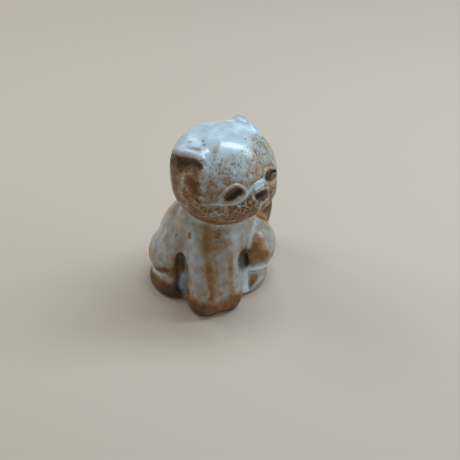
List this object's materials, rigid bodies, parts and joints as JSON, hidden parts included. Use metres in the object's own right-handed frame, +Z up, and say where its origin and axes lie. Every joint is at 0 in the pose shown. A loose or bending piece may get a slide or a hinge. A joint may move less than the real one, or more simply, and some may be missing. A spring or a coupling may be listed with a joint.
{
  "type": "cat figurine",
  "caption": "Small seated kitten figurine of glazed stoneware, with a big round head turned to its left and fused front legs.",
  "frame": {"origin": "middle of the bounding box, on the flat foot that the figurine stands on", "axes": "+Z up, -Y the way the body and its front paws face, +X to the kitten's own left, which is the side its head is turned to"},
  "size_m": [0.0378, 0.035, 0.0542],
  "materials": {
    "glazed_stoneware": "glossy pale glaze that breaks to rust brown where it is thin"
  },
  "bodies": {
    "root": {"kitten": "glazed_stoneware"}
  },
  "joints": []
}
